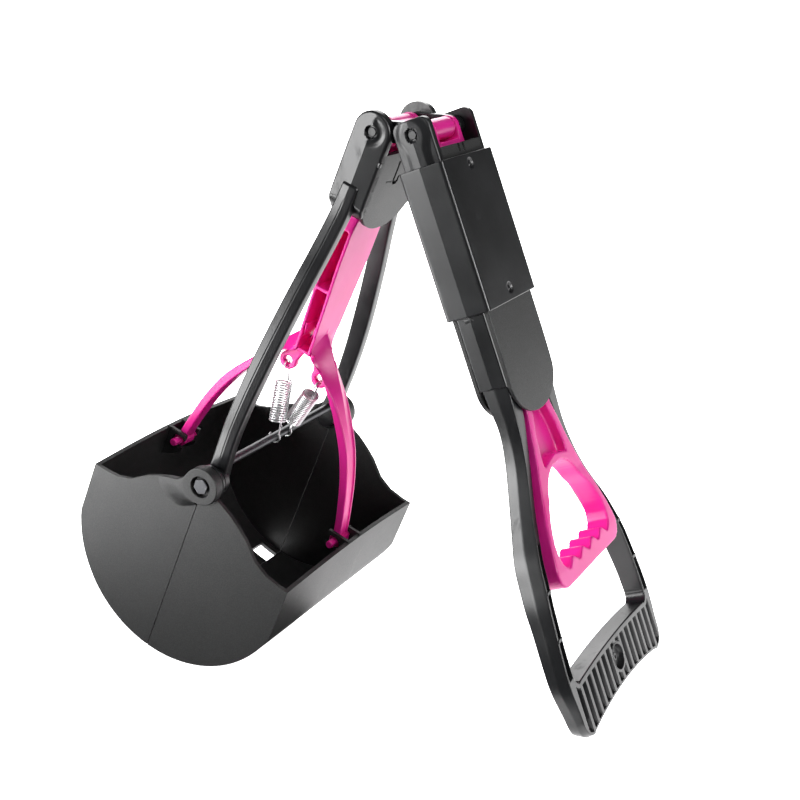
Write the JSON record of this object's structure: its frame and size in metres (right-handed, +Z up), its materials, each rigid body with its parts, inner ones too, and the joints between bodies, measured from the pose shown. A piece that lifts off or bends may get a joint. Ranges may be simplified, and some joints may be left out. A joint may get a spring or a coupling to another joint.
{
  "type": "folding pooper scooper",
  "caption": "Folding waste scoop: black jaws on a bowed fork, pink trigger, yoke and springs, folding link joint, locking sleeve and D-shaped grip, standing folded.",
  "frame": {"origin": "middle of the folded tool's footprint, on the floor that it stands on", "axes": "+Z up, +X from the scoop towards the grip, +Y along the fold pivots, away from the camera"},
  "size_m": [0.2724, 0.1364, 0.2742],
  "materials": {
    "black_plastic": "smooth black moulded plastic with a soft shine",
    "grained_plastic": "finely grained matte black plastic",
    "pink_plastic": "glossy hot pink moulded plastic",
    "bright_steel": "bright spring wire",
    "dark_steel": "dark plated steel"
  },
  "bodies": {
    "handle": {"handle_frame": "black_plastic", "handle_front_cover": "grained_plastic", "handle_rear_cover": "grained_plastic"},
    "sleeve": {"sleeve": "black_plastic"},
    "trigger": {"trigger": "pink_plastic"},
    "link": {"link_plate_near": "black_plastic", "link_plate_far": "black_plastic", "fold_pin_upper_near": "black_plastic", "fold_pin_upper_far": "black_plastic", "fold_pin_lower_near": "black_plastic", "fold_pin_lower_far": "black_plastic"},
    "fork": {"fork_frame": "black_plastic", "fork_front_cover": "grained_plastic", "fork_rear_cover": "grained_plastic", "spring_rod": "dark_steel", "pivot_bolt_near": "dark_steel", "pivot_bolt_far": "dark_steel", "spring_front": "bright_steel", "spring_rear": "bright_steel"},
    "yoke": {"yoke": "pink_plastic", "yoke_link_pin": "bright_steel"},
    "inner_link": {"inner_link": "pink_plastic"},
    "yoke_arm_front": {"yoke_arm_front": "pink_plastic"},
    "yoke_arm_rear": {"yoke_arm_rear": "pink_plastic"},
    "jaw_front": {"jaw_front": "grained_plastic"},
    "jaw_rear": {"jaw_rear": "grained_plastic"}
  },
  "joints": [
    {"name": "sleeve_slide", "type": "slide", "parent": "handle", "child": "sleeve", "axis": [0.3336, 0, -0.9427], "range_m": [-0.004, 0.04]},
    {"name": "trigger_slide", "type": "slide", "parent": "handle", "child": "trigger", "axis": [0.3336, 0, -0.9427], "range_m": [0, 0.025], "stiffness_N_per_m": 900, "springref_m": -0.008},
    {"name": "fold_upper", "type": "hinge", "parent": "handle", "child": "link", "pos_m": [0.03612, 0, 0.26389], "axis": [0, 1, 0], "range_deg": [-12, 68.2]},
    {"name": "fold_lower", "type": "hinge", "parent": "link", "child": "fork", "pos_m": [0.01603, 0, 0.26469], "axis": [0, 1, 0], "range_deg": [-12, 68.2]},
    {"name": "yoke_slide", "type": "slide", "parent": "fork", "child": "yoke", "axis": [0.4069, 0, 0.9135], "range_m": [0, 0.025], "deforming": ["spring_front", "spring_rear"]},
    {"name": "inner_link_hinge", "type": "hinge", "parent": "yoke", "child": "inner_link", "pos_m": [0.01603, 0, 0.26469], "axis": [0, -1, 0], "range_deg": [-12, 68.2]},
    {"name": "arm_front_flex", "type": "hinge", "parent": "yoke", "child": "yoke_arm_front", "pos_m": [-0.02609, 0, 0.16177], "axis": [0, -1, 0], "range_deg": [0, 4]},
    {"name": "arm_rear_flex", "type": "hinge", "parent": "yoke", "child": "yoke_arm_rear", "pos_m": [-0.0323, 0, 0.16454], "axis": [0, 1, 0], "range_deg": [0, 4]},
    {"name": "jaw_front_hinge", "type": "hinge", "parent": "fork", "child": "jaw_front", "pos_m": [-0.05786, 0, 0.0988], "axis": [0, -1, 0], "range_deg": [0, 29.1]},
    {"name": "jaw_rear_hinge", "type": "hinge", "parent": "fork", "child": "jaw_rear", "pos_m": [-0.05786, 0, 0.0988], "axis": [0, 1, 0], "range_deg": [0, 29.1]}
  ],
  "couplings": [
    {"joint": "fold_lower", "follows": "fold_upper", "ratio": 1},
    {"joint": "inner_link_hinge", "follows": "fold_upper", "ratio": 1},
    {"joint": "yoke_slide", "follows": "trigger_slide", "ratio": 1},
    {"joint": "jaw_front_hinge", "follows": "trigger_slide", "rad_per_m": 20.245},
    {"joint": "jaw_rear_hinge", "follows": "trigger_slide", "rad_per_m": 20.245},
    {"joint": "arm_front_flex", "follows": "trigger_slide", "rad_per_m": 2.72},
    {"joint": "arm_rear_flex", "follows": "trigger_slide", "rad_per_m": 2.72}
  ]
}
